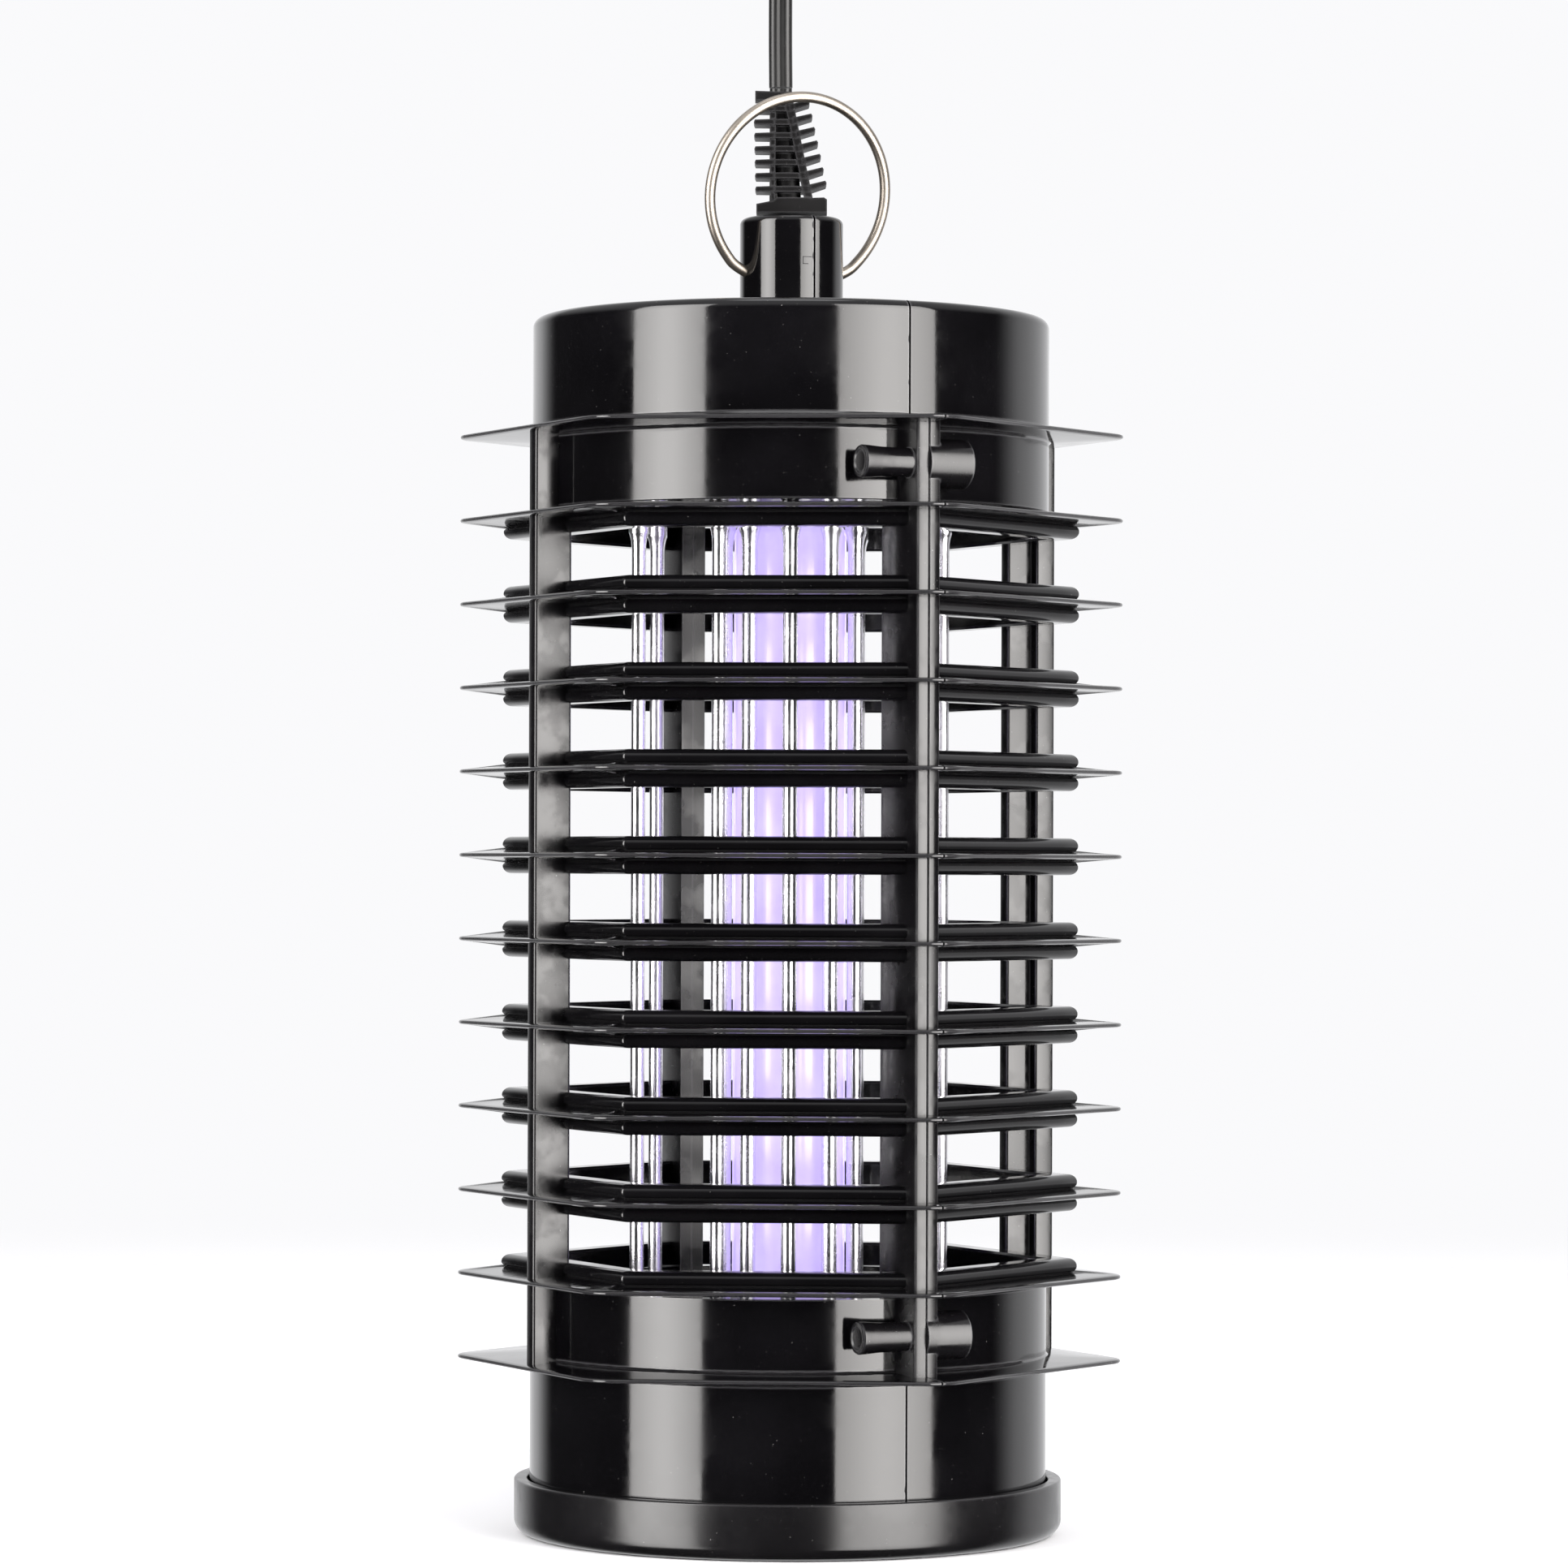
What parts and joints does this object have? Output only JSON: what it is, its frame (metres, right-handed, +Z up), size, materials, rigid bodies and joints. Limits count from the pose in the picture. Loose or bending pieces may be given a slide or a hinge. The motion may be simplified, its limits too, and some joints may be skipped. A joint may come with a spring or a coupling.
{
  "type": "electric bug zapper",
  "caption": "Small hanging ultraviolet insect killer: louvred hexagonal cage around a lamp and electrode bars, with a catch tray and wire hanging ring.",
  "frame": {"origin": "centre of the catch tray's underside, on the surface it stands on", "axes": "+Z up along the lamp; the two shells meet on the plane X = 0, with screw bosses at -Y (front) and +Y (rear)"},
  "size_m": [0.1198, 0.1965, 0.3357],
  "materials": {
    "gloss_black": "glossy black moulded shell, fine mould texture",
    "satin_black": "satin black moulding",
    "steel": "drawn nickel-plated steel wire",
    "bright_rod": "bright plated electrode bar",
    "lamp_glass": "lit ultraviolet lamp glass",
    "lamp_cap": "lamp cap",
    "holder_white": "lamp holder",
    "board": "printed circuit board",
    "choke": "wound choke",
    "capacitor": "dipped film capacitor",
    "can": "sleeved capacitor can",
    "cord_black": "flexible PVC sheath and plug moulding"
  },
  "bodies": {
    "root": {"upper_housing_left": "gloss_black", "lower_housing_left": "gloss_black", "mid_post_left": "gloss_black", "front_post_left": "gloss_black", "rear_post_left": "gloss_black", "upper_housing_right": "gloss_black", "lower_housing_right": "gloss_black", "mid_post_right": "gloss_black", "front_post_right": "gloss_black", "rear_post_right": "gloss_black", "left_louvre_02": "gloss_black", "right_louvre_02": "gloss_black", "left_louvre_03": "gloss_black", "right_louvre_03": "gloss_black", "left_louvre_04": "gloss_black", "right_louvre_04": "gloss_black", "left_louvre_05": "gloss_black", "right_louvre_05": "gloss_black", "left_louvre_06": "gloss_black", "right_louvre_06": "gloss_black", "left_louvre_07": "gloss_black", "right_louvre_07": "gloss_black", "left_louvre_08": "gloss_black", "right_louvre_08": "gloss_black", "left_louvre_09": "gloss_black", "right_louvre_09": "gloss_black", "left_louvre_10": "gloss_black", "right_louvre_10": "gloss_black", "left_louvre_11": "gloss_black", "right_louvre_11": "gloss_black", "screw_front_lower": "steel", "screw_front_upper": "steel", "screw_rear_lower": "steel", "screw_rear_upper": "steel", "upper_insulator": "gloss_black", "lower_insulator": "gloss_black", "outer_rods_live": "bright_rod", "outer_rods_neutral": "bright_rod", "lamp_grid_live": "bright_rod", "lamp_grid_neutral": "bright_rod", "uv_lamp": "lamp_glass", "lamp_cap": "lamp_cap", "lamp_holder": "holder_white", "circuit_board": "board", "ballast_choke": "choke", "film_capacitor": "capacitor", "filter_capacitor": "can", "cord_clamp": "satin_black", "strain_relief": "satin_black", "power_cord": "cord_black", "power_cord_tail": "cord_black", "power_cord_coil": "cord_black", "cord_tie": "satin_black", "plug_body": "cord_black", "plug_pin_left": "steel", "plug_pin_right": "steel"},
    "tray": {"catch_tray": "satin_black"},
    "hanger": {"hanging_ring": "steel"}
  },
  "joints": [
    {"name": "tray_pull", "type": "slide", "parent": "root", "child": "tray", "axis": [0, 0, -1], "range_m": [0, 0.03]},
    {"name": "ring_swing", "type": "hinge", "parent": "root", "child": "hanger", "pos_m": [0, 0, 0.247], "axis": [1, 0, 0], "range_deg": [0, 93]}
  ]
}
